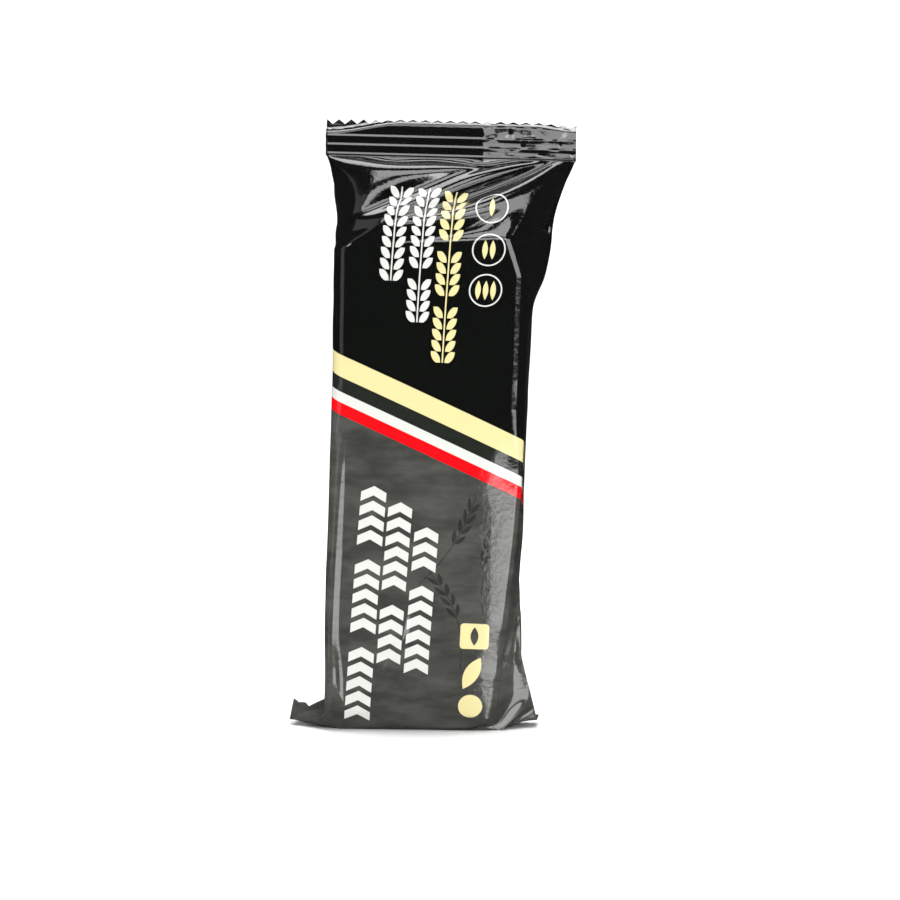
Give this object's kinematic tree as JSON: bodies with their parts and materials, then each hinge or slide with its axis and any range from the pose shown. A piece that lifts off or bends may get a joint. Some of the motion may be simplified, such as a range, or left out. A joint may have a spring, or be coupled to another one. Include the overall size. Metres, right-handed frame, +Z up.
{
  "type": "wrapped granola bar",
  "caption": "Granola bar in a shut glossy flow wrap that stands on its folded bottom seal, with crimped zigzag end seals, a folded back seam and slanting colour stripes.",
  "frame": {"origin": "on the table, under the middle of the pack's outline", "axes": "+X across the front to the viewer's right, +Y from the front to the back, +Z up from the folded bottom seal to the top seal"},
  "size_m": [0.0666, 0.0184, 0.1414],
  "materials": {
    "film": "glossy printed film, black above and dark grey below, with slanting cream, white and red stripes, plain oat ears, chevrons and rings"
  },
  "bodies": {
    "root": {"flow_pack": "film"}
  },
  "joints": []
}
